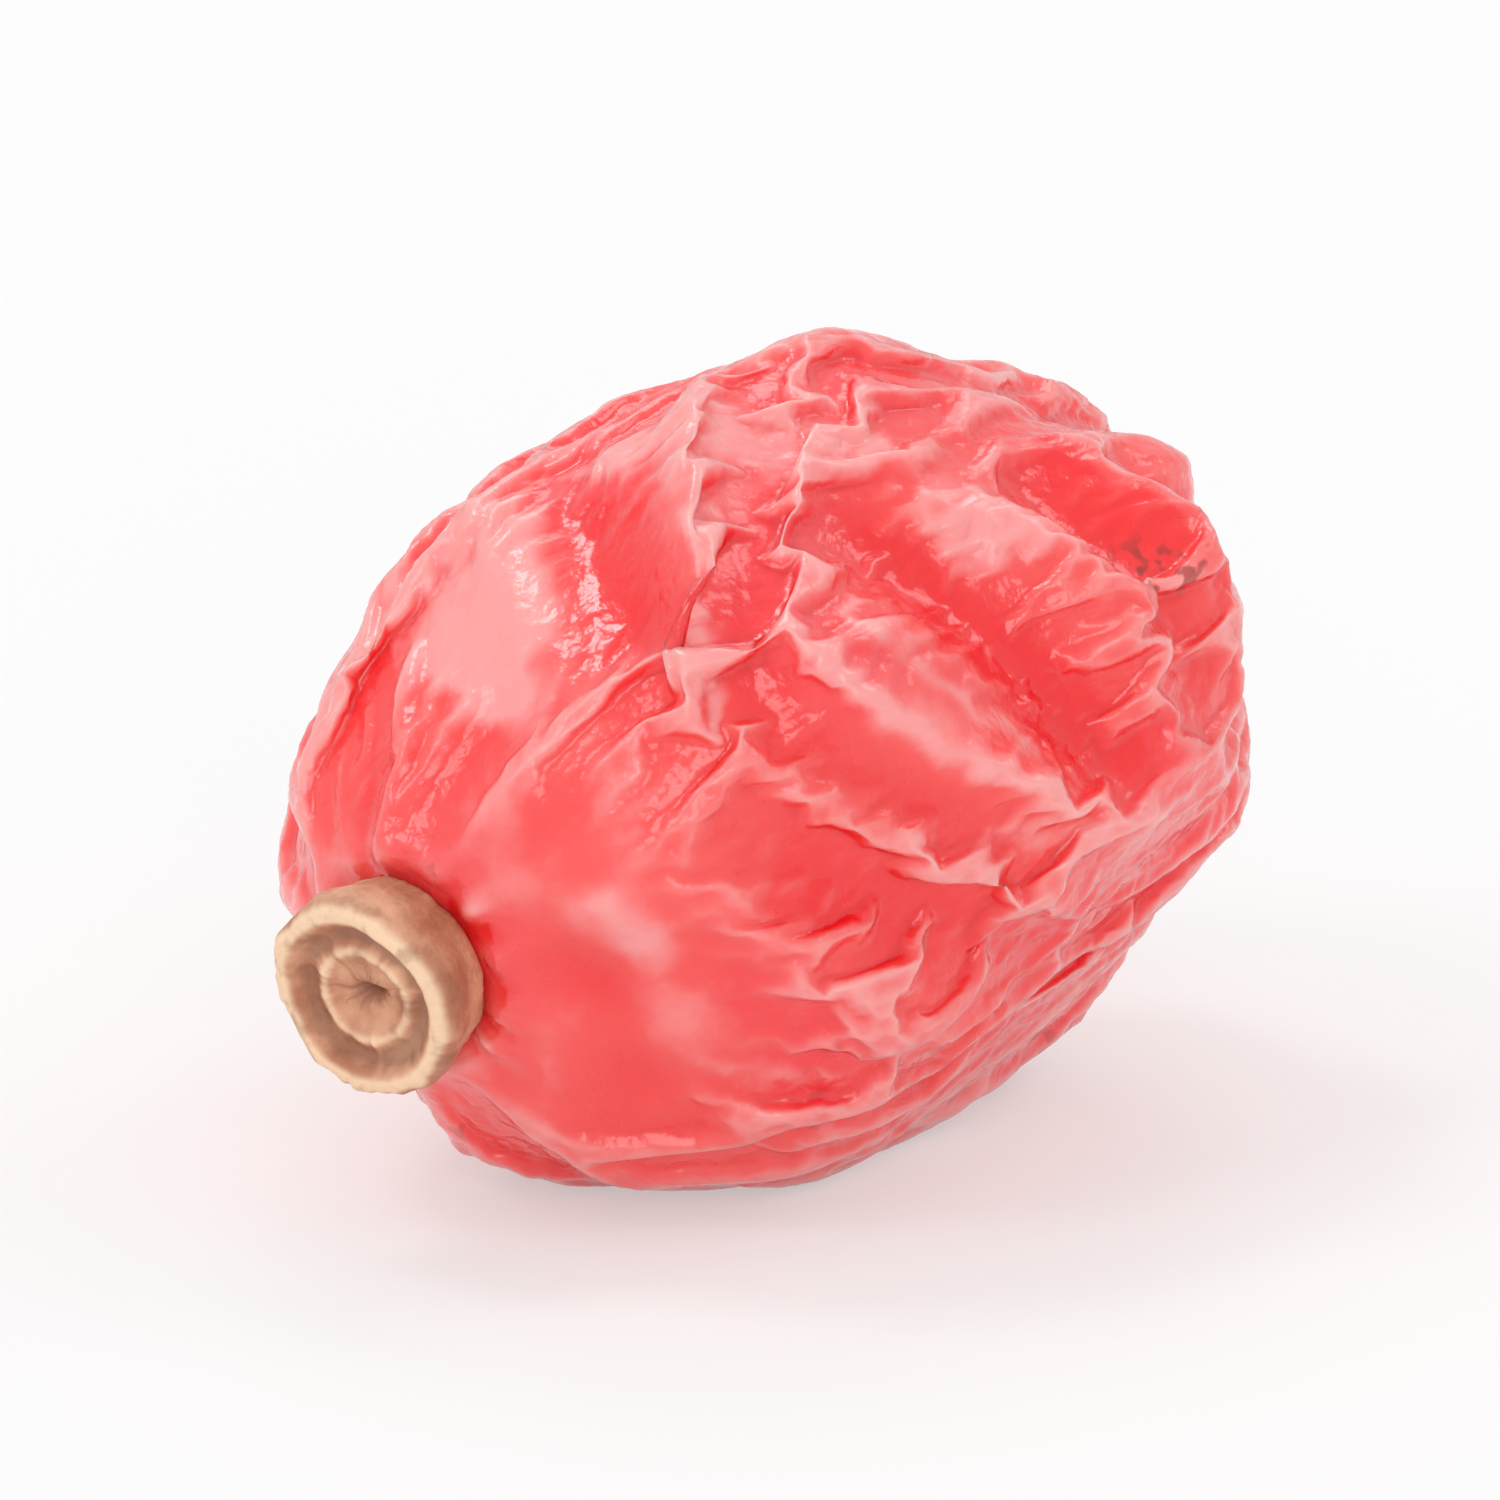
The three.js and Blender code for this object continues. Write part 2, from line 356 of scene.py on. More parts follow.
# The skin is gathered round the stigma and round the scar of the stalk. Each gathering: the radius, width
# and rise of its ring, the depth of the hollow in it, and the number, rise and reach of its pleats. The
# pleats wander to and fro: how far, how many times round, and from where.
STIGMA_GATHERING = (0.78, 0.13, 0.05, 0, 11, 0.02, 0.5)
STALK_SCAR = (0.3, 0.075, 0.06, 0.12, 11, 0.03, 0.5)
PLEAT_WANDER = (
    (2.1, 2, 0.6),
    (1.1, 5, 0),
)
RING_UNEVENNESS = 0.4
HOLLOW_SHARE = 0.6
GATHERED_WITHIN = 1.5


def gathered(points, middle, pull, gathering):
    """Gathers the skin round a point: a low ring, a hollow inside it, and pleats that fade outwards."""
    radius, width, rise, hollow, pleats, pleat_height, fade = gathering
    across = np.cross(pull, (0, 0, 1))
    across /= np.linalg.norm(across)
    away = points - middle
    x = away @ across
    y = away @ np.cross(pull, across)
    distance = np.hypot(x, y)
    turn = np.arctan2(y, x)
    phase = pleats * turn
    for wander, times, start in PLEAT_WANDER:
        phase += wander * np.sin(times * turn + start)
    wave = np.cos(phase)
    height = rise * np.exp(-(((distance - radius) / width) ** 2)) * (1 + RING_UNEVENNESS * wave)
    height -= hollow * np.exp(-((distance / (HOLLOW_SHARE * radius)) ** 4))
    beyond = np.maximum(0, distance - radius)
    height += pleat_height * wave * (1 - np.exp(-((distance / radius) ** 6))) * np.exp(-beyond / fade)
    near = np.clip(GATHERED_WITHIN - np.abs(away @ pull), 0, 1)
    return points + (height * near)[:, None] * pull


stalk_end = skin_points[directions[:, 0].argmax()]
skin_points = gathered(skin_points, SEAT_MIDDLE, SEAT_OUTWARD, STIGMA_GATHERING)
skin_points = gathered(skin_points, stalk_end, np.array([1.0, 0, 0]), STALK_SCAR)

# The skin's colour follows how it lies. Pale streaks are painted sheen on ridges and on facets that face the
# lamps, partly also dry skin that has come off the pulp; deep red streaks along the furrows are painted
# shade, partly also skin that clings. Each streak: the places where it starts, bends and ends, its half
# width, and how pale it is, or how deep where that is less than 0. A number beyond 1 gives it a full middle.
SHEEN_AND_SHADE_STREAKS = (
    ((62, -22), (52, -6), (40, 7), 0.62, 1.5),
    ((62, -24), (46, -42), (26, -60), 0.34, 1.1),
    ((70, -12), (80, 10), (98, 24), 0.4, 0.7),
    ((66, 0), (63, 15), (57, 31), 0.3, -1.5),
    ((76, 14), (67, 27), (55, 50), 0.16, 1.1),
    ((70, 42), (70, 64), (90, 84), 0.13, 0.6),
    ((77, 44), (78, 62), (92, 76), 0.12, 0.6),
    ((86, 36), (90, 58), (102, 86), 0.28, -1.4),
    ((120, 30), (114, 58), (138, 92), 0.24, -1.3),
    ((15, 50), (19, 90), (22, 130), 0.22, -0.9),
    ((70, 75), (78, 84), (92, 90), 0.12, 0.5),
    ((84, 98), (96, 108), (108, 114), 0.12, -0.7),
    ((60, -92), (84, -104), (110, -100), 0.3, 0.8),
    ((74, -52), (94, -58), (118, -40), 0.3, -0.8),
    ((124, -92), (140, -112), (146, -150), 0.28, -0.8),
    ((84, -128), (100, -150), (96, 176), 0.3, -0.7),
    ((60, 150), (80, 160), (110, 146), 0.26, 0.6),
)

# Each patch: its place, its reach in degrees, and how pale or deep it is. Pale patches are painted sheen,
# partly dry skin; deep ones are painted shade, partly skin that clings. A bruise has brown specks instead,
# and its last number is how many.
SHEEN_AND_SHADE_PATCHES = (
    (78, 24, 7, 0.5),
    (98, 43, 7, 1.2),
    (92, 20, 8, 0.55),
    (84, 4, 8, 0.4),
    (103, 9, 5, -0.9),
    (122, 44, 4, 0.9),
    (24, -10, 8, -0.5),
    (33, 71, 4, 0.6),
    (38, 84, 4, 0.9),
    (57, 84, 8, -0.6),
    (78, 122, 9, -0.5),
    (128, 10, 9, 0.6),
    (140, -40, 8, 0.7),
    (104, -76, 10, 0.6),
    (70, -140, 9, -0.6),
    (128, 150, 10, 0.6),
)
BRUISES = (
    (118, 62, 6, 1),
    (132, 70, 5, 1),
    (138, -96, 7, 1),
    (104, -160, 5, 1),
)
SWAY_SEED = 10
SWAY = 0.07
SWAY_SCALE = 4
FINE_SWAY_SCALE = 11
FINE_SWAY_SHARE = 0.5
STREAK_END = 0.06


def patches(directions, places, streaks=()):
    """Soft-edged patches and streaks on the skin, bent out of true as the skin is."""
    noise.seed_set(SWAY_SEED)
    sway = []
    for direction in directions:
        fine_sway = FINE_SWAY_SHARE * noise.noise_vector(Vector(direction) * FINE_SWAY_SCALE)
        sway.append(noise.noise_vector(Vector(direction) * SWAY_SCALE) + fine_sway)
    swayed = directions + SWAY * np.array(sway)
    swayed /= np.linalg.norm(swayed, axis=1, keepdims=True)
    total = np.zeros(len(directions))
    for along, around, reach, strength in places:
        off = degrees_between(swayed @ skin_direction(along, around))
        total += np.exp(-((off / reach) ** 2)) * strength
    for start, bend, end, half_width, strength in streaks:
        distance, share = beside_line(fresh_points(swayed), start, bend, end)
        share = np.clip(share, STREAK_END, 1 - STREAK_END)
        narrow = half_width * np.sin(np.pi * share) ** FOLD_END_FADE
        total += strength * np.exp(-((distance / narrow) ** 2))
    return np.clip(total, -1, 1)


# What the material reads: how far the skin is off the pulp, how far it stands out from a skin with its fine
# wrinkles evened away and from one without its broad ones too, its painted sheen and shade with some tone,
# its bruises and the stalk's scar.
LOOSE_LIFT = 0.15
FINE_SCALE_ROUNDS = 14
FINE_STANDOUT = 0.02
BROAD_SCALE_ROUNDS = 240
BROAD_STANDOUT = 0.12
SCAR_RADIUS = 0.34


def standout(points, rounds):
    return ((points - evened(points, links, rounds)) * outward(points, corners)).sum(1)


from_stalk = np.linalg.norm((skin_points - stalk_end)[:, 1:], axis=1)
skin_measures = {
    "loose": (lift * normals).sum(1) / LOOSE_LIFT,
    "fine": standout(skin_points, FINE_SCALE_ROUNDS) / FINE_STANDOUT,
    "broad": standout(skin_points, BROAD_SCALE_ROUNDS) / BROAD_STANDOUT,
    "tone_and_painted_light": patches(directions, SHEEN_AND_SHADE_PATCHES, SHEEN_AND_SHADE_STREAKS),
    "bruise": patches(directions, BRUISES),
    "scar": np.exp(-((from_stalk / SCAR_RADIUS) ** 4)) * (directions[:, 0] > 0),
}

# The berry lies tilted on its side, and the floor presses a small flat spot under it.
PRESS = 0.1
tilt = np.array(Matrix.Rotation(-AXIS_TILT, 3, "Y"))
lying = skin_points @ tilt.T + (0, 0, REST_HEIGHT)
lying[:, 2] = 0.5 * (lying[:, 2] + np.hypot(lying[:, 2], PRESS))
for v, place in zip(skin_mesh.verts, lying):
    v.co = place * MM
for f in skin_mesh.faces:
    f.smooth = True
skin_mesh.verts.layers.float_vector.remove(lift_layer)
skin_data = bpy.data.meshes.new("berry_skin")
skin_mesh.to_mesh(skin_data)
skin_mesh.free()
for name, values in skin_measures.items():
    skin_data.attributes.new(name, "FLOAT", "POINT").data.foreach_set("value", values.astype(np.float32))
skin = bpy.data.objects.new("berry_skin", skin_data)
bpy.context.scene.collection.objects.link(skin)


class Finish:
    """A material of nodes, whose patterns sit still on the piece. Speckles and cells count per metre."""

    FIRST_COLOUR = 6
    SECOND_COLOUR = 7
    BLENDED_COLOUR = 2

    def __init__(self, name):
        self.material = bpy.data.materials.new(name)
        self.material.use_nodes = True
        self.tree = self.material.node_tree
        self.shader = self.tree.nodes["Principled BSDF"]
        self.place = self.tree.nodes.new("ShaderNodeTexCoord").outputs["Object"]

    def put(self, value, socket):
        if isinstance(value, bpy.types.NodeSocket):
            self.tree.links.new(value, socket)
        else:
            socket.default_value = value

    def measured(self, name):
        node = self.tree.nodes.new("ShaderNodeAttribute")
        node.attribute_name = name
        return node.outputs["Fac"]

    def spread(self, value, low, high, to_low=0, to_high=1):
        """Eases from one number where the value is low to another where it is high."""
        node = self.tree.nodes.new("ShaderNodeMapRange")
        node.interpolation_type = "SMOOTHSTEP"
        for socket, number in zip(node.inputs, (value, low, high, to_low, to_high)):
            self.put(number, socket)
        return node.outputs["Result"]

    def speckle(self, scale, detail):
        node = self.tree.nodes.new("ShaderNodeTexNoise")
        self.put(self.place, node.inputs["Vector"])
        self.put(scale, node.inputs["Scale"])
        self.put(detail, node.inputs["Detail"])
        return node.outputs["Fac"]

    def cells(self, scale):
        """Cells with crooked walls: how far each point is from the middle of its cell."""
        bends_per_cell = 0.8
        bend_depth = 1.3
        wander = self.tree.nodes.new("ShaderNodeTexNoise")
        self.put(self.place, wander.inputs["Vector"])
        self.put(bends_per_cell * scale, wander.inputs["Scale"])
        self.put(0, wander.inputs["Detail"])
        bent = self.tree.nodes.new("ShaderNodeVectorMath")
        bent.operation = "MULTIPLY_ADD"
        self.put(wander.outputs["Color"], bent.inputs[0])
        self.put([bend_depth / scale] * 3, bent.inputs[1])
        self.put(self.place, bent.inputs[2])
        node = self.tree.nodes.new("ShaderNodeTexVoronoi")
        self.put(bent.outputs["Vector"], node.inputs["Vector"])
        self.put(scale, node.inputs["Scale"])
        return node.outputs["Distance"]

    def combine(self, operation, first, second):
        node = self.tree.nodes.new("ShaderNodeMath")
        node.operation = operation
        self.put(first, node.inputs[0])
        self.put(second, node.inputs[1])
        return node.outputs[0]

    def add(self, first, second):
        return self.combine("ADD", first, second)

    def times(self, first, second):
        return self.combine("MULTIPLY", first, second)

    def greater(self, first, second):
        return self.combine("MAXIMUM", first, second)

    def blend(self, share, first, second):
        node = self.tree.nodes.new("ShaderNodeMix")
        node.data_type = "RGBA"
        self.put(share, node.inputs["Factor"])
        self.put(first, node.inputs[self.FIRST_COLOUR])
        self.put(second, node.inputs[self.SECOND_COLOUR])
        return node.outputs[self.BLENDED_COLOUR]

    def relief(self, height, strength, depth):
        node = self.tree.nodes.new("ShaderNodeBump")
        self.put(strength, node.inputs["Strength"])
        self.put(depth, node.inputs["Distance"])
        self.put(height, node.inputs["Height"])
        self.put(node.outputs["Normal"], self.shader.inputs["Normal"])
        self.put(node.outputs["Normal"], self.shader.inputs["Coat Normal"])


def light_of(part):
    """How much light a part of a colour gives, both from 0 to 1."""
    return part / 12.92 if part <= 0.04045 else ((part + 0.055) / 1.055) ** 2.4


def colour(red, green, blue):
    """A colour written as a screen shows it, from 0 to 255."""
    return (light_of(red / 255), light_of(green / 255), light_of(blue / 255), 1)


# Several colours here are painted light: the deep reds in hollows and furrows are painted shade, and the
# lighter red and pale pinks on ridges, crests and facets are painted sheen.
HOLLOW_SHADE_RED = colour(252, 24, 32)
RIDGE_LIT_RED = colour(255, 84, 82)
CRIMSON = colour(253, 30, 54)
SHEEN_AND_DRY_PINK = colour(255, 170, 168)
SHADE_AND_CLINGING_RED = colour(250, 8, 22)
LOOSE_PINK = colour(255, 134, 130)
FURROW_SHADE_RED = colour(222, 0, 14)
RIDGE_SHEEN_PINK = colour(255, 192, 188)
SPECK_BROWN = colour(140, 32, 20)
SCAR_TAN = colour(196, 138, 96)
SCAR_FLAKE = colour(228, 184, 142)
SCAR_PIT = colour(104, 58, 44)
SKIN_DEPTH = 0.0005
SKIN_DEPTH_BY_COLOUR = (1, 0.12, 0.1)
CREPE_DEPTH = 0.000014

waxy = Finish("waxy_skin")
fine = waxy.measured("fine")
broad = waxy.measured("broad")
painted = waxy.measured("tone_and_painted_light")
scar = waxy.measured("scar")
mottle = waxy.spread(waxy.speckle(620, 3), 0.3, 0.7, -0.24, 0.24)
uneven_edges = waxy.spread(waxy.speckle(2400, 4), 0.3, 0.7, -0.14, 0.14)
# Painted light from the shape: raised skin is paler, as painted sheen, and sunken skin deeper red, as
# painted shade.
ridge_sheen_and_hollow_shade = waxy.add(waxy.spread(broad, -1, 1, -0.3, 0.3), waxy.spread(fine, -2, 2, -0.3, 0.3))
tone_and_painted_light = waxy.add(waxy.add(painted, ridge_sheen_and_hollow_shade), waxy.add(mottle, uneven_edges))
# Painted shade: the hollows of the broad folds are a deeper red than their ridges, which are painted
# lighter.
red = waxy.blend(waxy.spread(broad, -1, 0.6), HOLLOW_SHADE_RED, RIDGE_LIT_RED)
red = waxy.blend(waxy.spread(waxy.speckle(430, 2), 0.5, 0.62, 0, 0.4), red, CRIMSON)
# Pale patches are painted sheen, partly dry skin off the pulp; deep patches are painted shade, partly skin
# that clings.
red = waxy.blend(waxy.spread(tone_and_painted_light, 0, 1, 0, 0.8), red, SHEEN_AND_DRY_PINK)
red = waxy.blend(waxy.spread(tone_and_painted_light, -0.85, -0.2, 0.9, 0), red, SHADE_AND_CLINGING_RED)
red = waxy.blend(waxy.spread(waxy.measured("loose"), 0.2, 1.1, 0, 0.3), red, LOOSE_PINK)
# Painted shade: the fine furrows are darker red.
red = waxy.blend(waxy.spread(fine, -2.2, -0.3, 0.8, 0), red, FURROW_SHADE_RED)
# Painted sheen: the crests of the fine wrinkles are pale pink, less so where deep red is painted.
painted_ridge_sheen = waxy.times(waxy.spread(fine, 0.3, 2.4, 0, 0.5), waxy.spread(painted, -1, 0.3, 0.3, 1))
red = waxy.blend(painted_ridge_sheen, red, RIDGE_SHEEN_PINK)

dots = waxy.speckle(6600, 1)
stray_specks = waxy.spread(waxy.speckle(900, 2), 0.66, 0.76, 0, 0.5)
blemished = waxy.spread(waxy.add(waxy.measured("bruise"), stray_specks), 0.1, 0.8, 0, 0.75)
red = waxy.blend(waxy.times(waxy.spread(dots, 0.54, 0.63), blemished), red, SPECK_BROWN)
flakes = waxy.times(scar, dots)
red = waxy.blend(waxy.spread(scar, 0.3, 0.75, 0, 0.92), red, SCAR_TAN)
red = waxy.blend(waxy.spread(flakes, 0.4, 0.62, 0, 0.7), red, SCAR_FLAKE)
red = waxy.blend(waxy.spread(scar, 0.9, 1, 0, 0.85), red, SCAR_PIT)
waxy.put(red, waxy.shader.inputs["Base Color"])

dull = waxy.spread(waxy.speckle(2600, 3), 0.3, 0.7, -0.06, 0.06)
dull = waxy.add(dull, waxy.spread(tone_and_painted_light, -0.7, 0.6, 0.26, 0.42))
dull = waxy.greater(dull, waxy.spread(scar, 0.3, 0.8, 0, 0.75))
waxy.put(dull, waxy.shader.inputs["Roughness"])
waxy.put(0.5, waxy.shader.inputs["Subsurface Weight"])
waxy.put(SKIN_DEPTH_BY_COLOUR, waxy.shader.inputs["Subsurface Radius"])
waxy.put(SKIN_DEPTH, waxy.shader.inputs["Subsurface Scale"])
waxy.put(0.5, waxy.shader.inputs["Specular IOR Level"])
waxy.put(0.8, waxy.shader.inputs["Coat Weight"])
waxy.put(0.16, waxy.shader.inputs["Coat Roughness"])
crepe = waxy.spread(waxy.cells(5200), 0.1, 0.9, 1, 0)
crepe = waxy.times(crepe, waxy.spread(waxy.speckle(900, 2), 0.4, 0.66, 0.1, 1))
crepe = waxy.add(crepe, waxy.speckle(11000, 2))
waxy.relief(waxy.add(crepe, waxy.times(flakes, 4)), 0.7, CREPE_DEPTH)
skin_data.materials.append(waxy.material)
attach(skin, "root")
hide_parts("berry")

# The stigma. The broad stigma of the flower stays on the fruit and dries to a hard corky button: a low drum
# with a rolled rim, a ringed face and a pit in its middle. It grows out of the skin at the berry's end. Its
# profile is in shares of its radius and height, from the middle of its foot to the middle of its pit.
STIGMA_DIAMETER = 1.45
STIGMA_HEIGHT = 0.6
STIGMA_STEPS = 64
STIGMA_ROUNDING = 2
SAME_POINT = 0.0001
STIGMA_PROFILE = (
    (0, -0.14),
    (0.74, -0.14),
    (0.89, -0.06),
    (0.88, 0.1),
    (0.92, 0.3),
    (0.98, 0.5),
    (1, 0.68),
    (0.98, 0.84),
    (0.93, 0.95),
    (0.86, 1),
    (0.79, 0.98),
    (0.73, 0.89),
    (0.68, 0.79),
    (0.61, 0.75),
    (0.54, 0.79),
    (0.48, 0.84),
    (0.41, 0.82),
    (0.35, 0.74),
    (0.27, 0.72),
    (0.19, 0.73),
    (0.13, 0.66),
    (0.07, 0.55),
    (0, 0.52),
)
stigma_mesh = bmesh.new()
profile_points = []
for across, up in STIGMA_PROFILE:
    profile_points.append(stigma_mesh.verts.new((across * STIGMA_DIAMETER / 2, 0, up * STIGMA_HEIGHT)))
profile_edges = [stigma_mesh.edges.new(pair) for pair in zip(profile_points, profile_points[1:])]
bmesh.ops.spin(
    stigma_mesh,
    geom=profile_points + profile_edges,
    cent=(0, 0, 0),
    axis=(0, 0, 1),
    angle=math.tau,
    steps=STIGMA_STEPS,
    use_merge=True,
)
bmesh.ops.remove_doubles(stigma_mesh, verts=stigma_mesh.verts, dist=SAME_POINT)
bmesh.ops.recalc_face_normals(stigma_mesh, faces=stigma_mesh.faces)
stigma_cage = bpy.data.meshes.new("stigma_cage")
stigma_mesh.to_mesh(stigma_cage)
stigma_mesh.free()
stigma = bpy.data.objects.new("stigma_button", stigma_cage)
bpy.context.scene.collection.objects.link(stigma)
rounding = stigma.modifiers.new("rounding", "SUBSURF")
rounding.levels = STIGMA_ROUNDING
rounding.render_levels = STIGMA_ROUNDING
stigma_data = bpy.data.meshes.new_from_object(stigma.evaluated_get(bpy.context.evaluated_depsgraph_get()))
stigma.modifiers.remove(rounding)
stigma.data = stigma_data
stigma_data.name = "stigma_button"

# It dried unevenly: its outline and rim wave, wrinkles run down its side and in over its face, and its pit
# is a slit. Each wave: its rise, how many there are and where they start. Each band: its middle and half
# width. Each ramp: where it starts and how long it is. Bands and ramps are in shares of radius or height.
OUTLINE_WAVES = (
    (0.03, 2, 0.4),
    (0.016, 5, 1.9),
)
RIM_WAVES = ((0.018, 2, 2.2),)
BUMP_SIZES = 3
BUMP_SIZE_STEP = 2
BUMP_FALL = 1
SWELLING_SCALE = 2.4
SWELLING_START = Vector((4, 2, 9))
SWELLING = 0.02
WRINKLES_AROUND = 4
WRINKLES_DOWN = 0.9
WRINKLES_INWARDS = 0.8
WRINKLED_LEAST = 0.2
WRINKLED_MIDDLE = 0.7
WRINKLED_BY_SWELLING = 1.5
SIDE_WRINKLE_DEPTH = 0.035
FACE_WRINKLE_DEPTH = 0.022
PITTING_SCALE = 11
PITTING_DEPTH = 0.006
SIDE_RAMP = (0.6, 0.25)
TOP_RAMP = (0.4, 0.3)
RIM_BAND = (0.87, 0.09)
RIM_RAMP = (0.6, 0.3)
RING_BAND = (0.46, 0.07)
RING_RAMP = (0.5, 0.2)
RING_HIGHLIGHT = 0.6
WRINKLE_HIGHLIGHT = 0.3
TROUGH_BAND = (0.63, 0.09)
SLIT_REACH = 0.4
SLIT_PINCH = 0.5
SLIT_STRETCH = 0.3
PIT_REACH = 0.28
PIT_SHADE = 1.2
WRINKLE_CLEARNESS = 0.8


def waves(turn, table):
    total = 0
    for rise, count, start in table:
        total += rise * math.sin(count * turn + start)
    return total


def ramp(value, start, length):
    return min(1, max(0, value - start) / length)


def band(value, middle, half_width):
    return math.exp(-(((value - middle) / half_width) ** 2))


def bumps(place):
    """Chance bumps in three sizes, each half as big and half as high as the one before."""
    return noise.fractal(place, BUMP_FALL, BUMP_SIZE_STEP, BUMP_SIZES)


raised_highlight_shares = []
hollow_shade_shares = []
for v in stigma_data.vertices:
    x, y, z = v.co
    radius = math.hypot(x, y) / (STIGMA_DIAMETER / 2)
    height = z / STIGMA_HEIGHT
    turn = math.atan2(y, x)
    swelling = bumps(Vector((x, y, z)) * SWELLING_SCALE + SWELLING_START)
    pitting = bumps(Vector((x, y, z)) * PITTING_SCALE)
    inwards = WRINKLES_DOWN * height + WRINKLES_INWARDS * radius
    wrinkle = bumps(Vector((WRINKLES_AROUND * math.cos(turn), WRINKLES_AROUND * math.sin(turn), inwards)))
    wrinkle *= min(1, max(WRINKLED_LEAST, WRINKLED_MIDDLE + WRINKLED_BY_SWELLING * swelling))
    outline = waves(turn, OUTLINE_WAVES) + SWELLING * swelling
    slit = max(0, 1 - radius / SLIT_REACH)
    side = ramp(radius, *SIDE_RAMP) * (outline + SIDE_WRINKLE_DEPTH * wrinkle)
    v.co.x *= 1 + side - SLIT_PINCH * slit
    v.co.y *= 1 + side + SLIT_STRETCH * slit
    top = ramp(height, *TOP_RAMP)
    face_wrinkle = FACE_WRINKLE_DEPTH * wrinkle * min(1, 2 * radius)
    v.co.z += top * (waves(turn, RIM_WAVES) + SWELLING * swelling + face_wrinkle + PITTING_DEPTH * pitting)
    # Painted highlight: the rolled rim, the raised ring and the crests of the wrinkles are paler.
    raised_highlight = band(radius, *RIM_BAND) * ramp(height, *RIM_RAMP)
    ring = band(radius, *RING_BAND) * ramp(height, *RING_RAMP)
    raised_highlight_shares.append(min(1, raised_highlight + RING_HIGHLIGHT * ring + WRINKLE_HIGHLIGHT * wrinkle))
    # Painted shade: the trough, the pit and the hollows between the wrinkles are darker brown.
    hollow = band(radius, *TROUGH_BAND) * top + PIT_SHADE * max(0, 1 - radius / PIT_REACH)
    hollow_shade_shares.append(min(1, max(0, hollow - WRINKLE_CLEARNESS * wrinkle)))
for name, values in (("raised_highlight", raised_highlight_shares), ("hollow", hollow_shade_shares)):
    stigma_data.attributes.new(name, "FLOAT", "POINT").data.foreach_set("value", values)
seat_place = (
    Matrix.Translation((0, 0, REST_HEIGHT))
    @ Matrix.Rotation(-AXIS_TILT, 4, "Y")
    @ Matrix.Translation(SEAT_MIDDLE)
    @ Matrix.Rotation(STIGMA_LEAN, 4, "Z")
    @ Matrix.Rotation(math.radians(-90), 4, "Y")
)
stigma_data.transform(Matrix.Scale(MM, 4) @ seat_place)
for polygon in stigma_data.polygons:
    polygon.use_smooth = True

CORK_DARK = colour(184, 120, 90)
CORK_LIGHT = colour(224, 168, 134)
CORK_SHADE_BROWN = colour(142, 98, 76)
CORK_HIGHLIGHT_PEACH = colour(252, 218, 182)
CORK_SPECK = colour(150, 96, 70)
CORK_GRAIN_DEPTH = 0.00002

cork = Finish("dry_cork")
brown = cork.blend(cork.spread(cork.speckle(2300, 4), 0.35, 0.68), CORK_DARK, CORK_LIGHT)
# Painted shade in the trough, the pit and between the wrinkles.
brown = cork.blend(cork.spread(cork.measured("hollow"), 0.1, 0.9, 0, 0.6), brown, CORK_SHADE_BROWN)
# Painted highlight on the rim, the ring and the wrinkle crests.
brown = cork.blend(cork.spread(cork.measured("raised_highlight"), 0.15, 0.8, 0, 0.85), brown, CORK_HIGHLIGHT_PEACH)
brown = cork.blend(cork.spread(cork.speckle(5600, 4), 0.5, 0.7, 0, 0.45), brown, CORK_SPECK)
cork.put(brown, cork.shader.inputs["Base Color"])
cork.put(cork.spread(cork.speckle(3000, 3), 0.3, 0.7, 0.48, 0.72), cork.shader.inputs["Roughness"])
cork.put(0.45, cork.shader.inputs["Specular IOR Level"])
cork.relief(cork.add(cork.speckle(7000, 5), cork.speckle(16000, 2)), 0.6, CORK_GRAIN_DEPTH)
stigma_data.materials.clear()
stigma_data.materials.append(cork.material)
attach(stigma, "root")
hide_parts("stigma")

# The floor is a plain pale sheet. To the camera and in reflections it is nearly half lit by itself, so that
# it shows near white, with the berry's soft shadow on it.
FLOOR_HALF_SIDE = 0.3
FLOOR_GREY = (0.87, 0.87, 0.87, 1)
FLOOR_OWN_LIGHT = 0.45
floor_mesh = bmesh.new()
bmesh.ops.create_grid(floor_mesh, x_segments=1, y_segments=1, size=FLOOR_HALF_SIDE)
floor_data = bpy.data.meshes.new("floor")
floor_mesh.to_mesh(floor_data)
floor_mesh.free()
floor = bpy.data.objects.new("floor", floor_data)
bpy.context.scene.collection.objects.link(floor)
paper = Finish("pale_floor")
paper.put(FLOOR_GREY, paper.shader.inputs["Base Color"])
paper.put(0.8, paper.shader.inputs["Roughness"])
paper.put(0.1, paper.shader.inputs["Specular IOR Level"])
seen = paper.tree.nodes.new("ShaderNodeLightPath")
through_or_off_gloss = paper.greater(seen.outputs["Is Glossy Ray"], seen.outputs["Is Transmission Ray"])
by_eye = paper.greater(seen.outputs["Is Camera Ray"], through_or_off_gloss)
white = paper.tree.nodes.new("ShaderNodeEmission")
both = paper.tree.nodes.new("ShaderNodeMixShader")
paper.put(paper.times(by_eye, FLOOR_OWN_LIGHT), both.inputs["Fac"])
paper.put(paper.shader.outputs["BSDF"], both.inputs[1])
paper.put(white.outputs["Emission"], both.inputs[2])
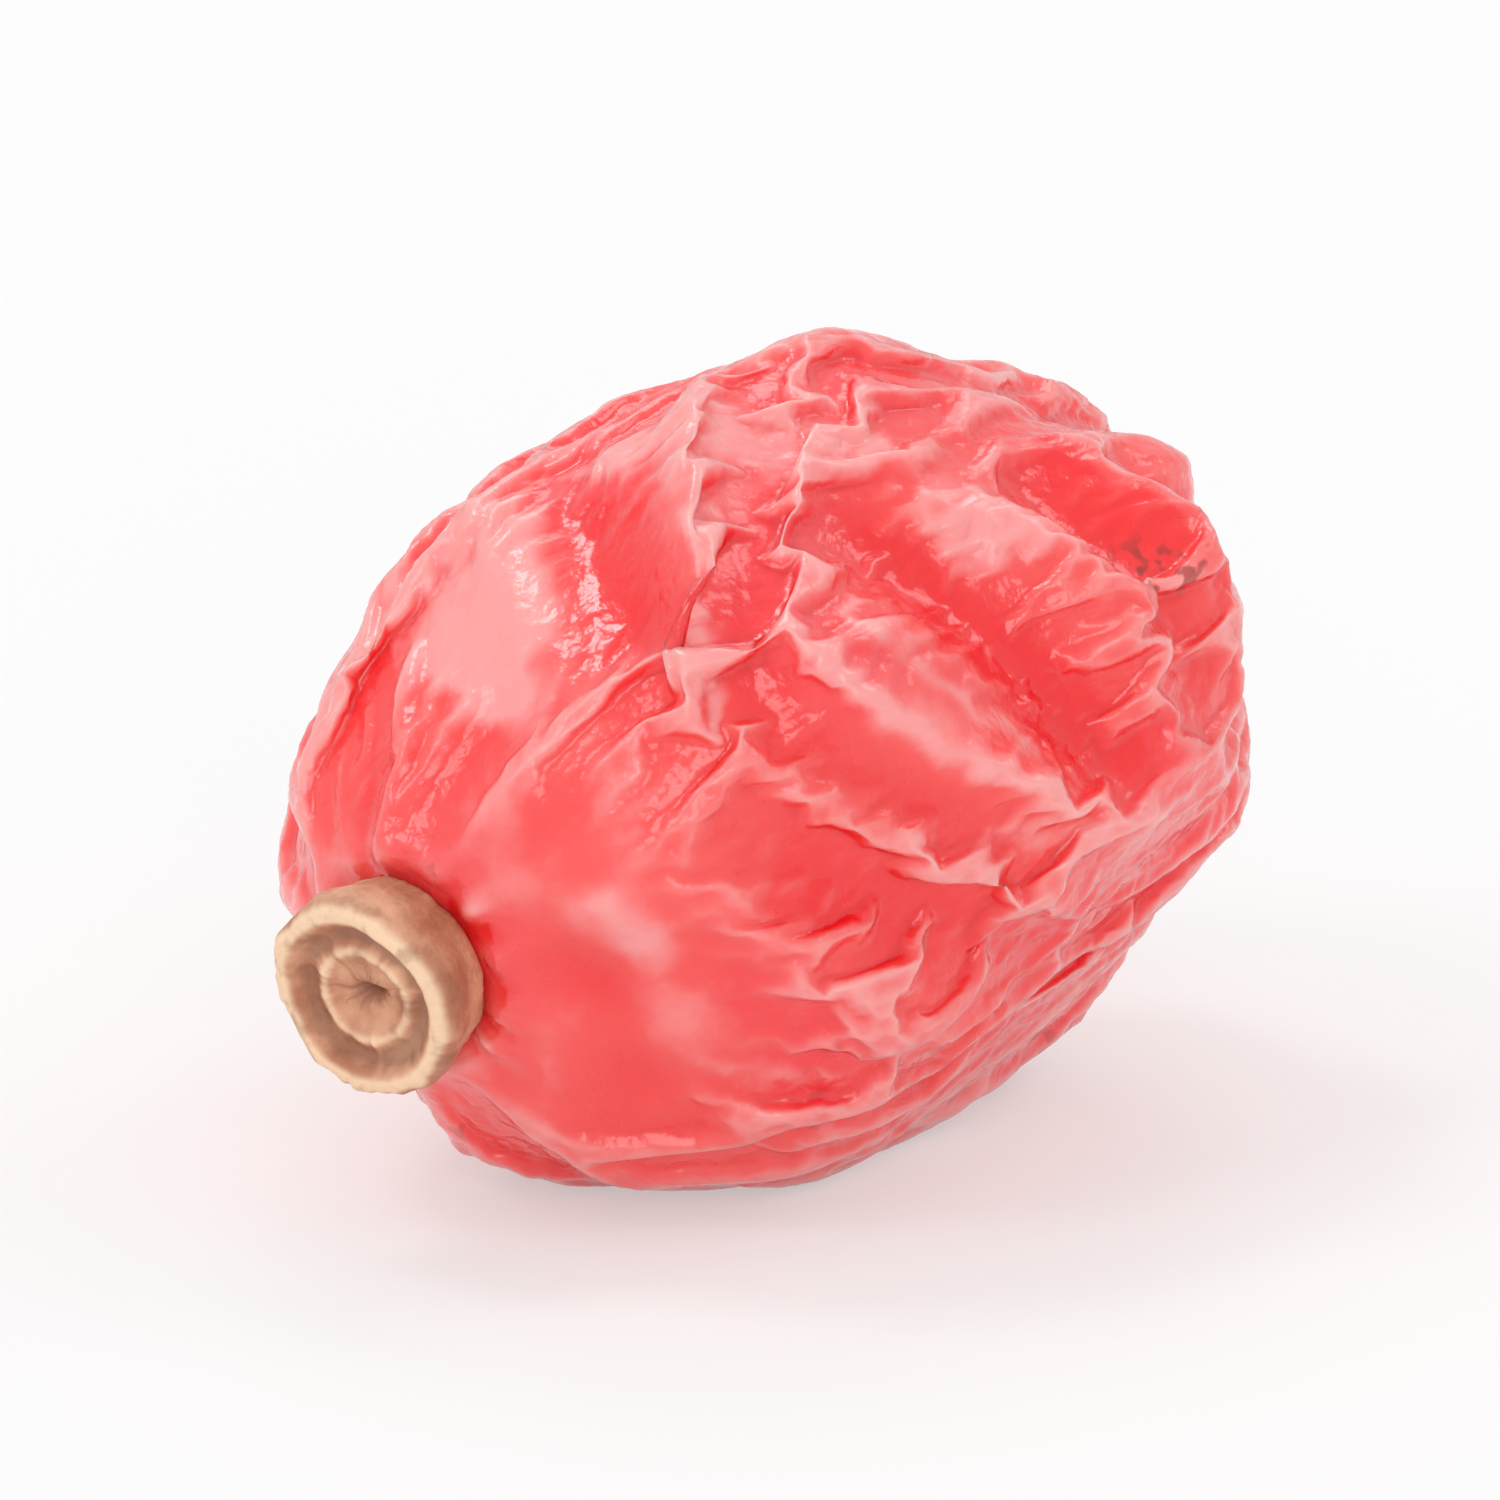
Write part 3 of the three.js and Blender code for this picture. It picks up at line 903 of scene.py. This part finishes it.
paper.put(both.outputs["Shader"], paper.tree.nodes["Material Output"].inputs["Surface"])
floor_data.materials.append(paper.material)

# White light from all round, and five broad soft lamps. Each lamp: its strength, its width, and the side and
# height that it shines from, all in degrees but the first. A side counts from -Y towards +X.
SKY_STRENGTH = 0.74
LAMPS = (
    ("key", 0.45, 16, 190, 62),
    ("back", 0.3, 26, 135, 48),
    ("left", 0.3, 20, 255, 45),
    ("right", 0.2, 20, 70, 45),
    ("front", 0.55, 30, 320, 22),
)


def toward(side, height):
    """The direction from the berry to something round it."""
    a = math.radians(side)
    b = math.radians(height)
    return Vector((math.sin(a) * math.cos(b), -math.cos(a) * math.cos(b), math.sin(b)))


world = bpy.data.worlds.new("studio")
bpy.context.scene.world = world
world.use_nodes = True
world.node_tree.nodes["Background"].inputs["Color"].default_value = (1, 1, 1, 1)
world.node_tree.nodes["Background"].inputs["Strength"].default_value = SKY_STRENGTH
for name, strength, width, side, height in LAMPS:
    lamp_data = bpy.data.lights.new(name, "SUN")
    lamp_data.energy = strength
    lamp_data.angle = math.radians(width)
    lamp = bpy.data.objects.new(name, lamp_data)
    lamp.rotation_euler = toward(side, height).to_track_quat("Z", "Y").to_euler()
    bpy.context.scene.collection.objects.link(lamp)

# The camera looks at the middle of the berry from its stigma's side and a little from above. It stands
# close, with a long lens, so that the berry fills most of the picture.
CAMERA_SIDE = -45
CAMERA_HEIGHT = 17
CAMERA_DISTANCE = 0.12
CAMERA_LENS = 420
camera_data = bpy.data.cameras.new("camera")
camera_data.lens = CAMERA_LENS
camera_data.clip_start = 0.001
camera_data.clip_end = 10
camera = bpy.data.objects.new("camera", camera_data)
middle = (Vector(cad_box[0]) + Vector(cad_box[1])) / 2
camera.location = middle + toward(CAMERA_SIDE, CAMERA_HEIGHT) * CAMERA_DISTANCE
camera.rotation_euler = toward(CAMERA_SIDE, CAMERA_HEIGHT).to_track_quat("Z", "Y").to_euler()
bpy.context.scene.collection.objects.link(camera)
bpy.context.scene.camera = camera
bpy.context.scene.view_settings.view_transform = "Standard"
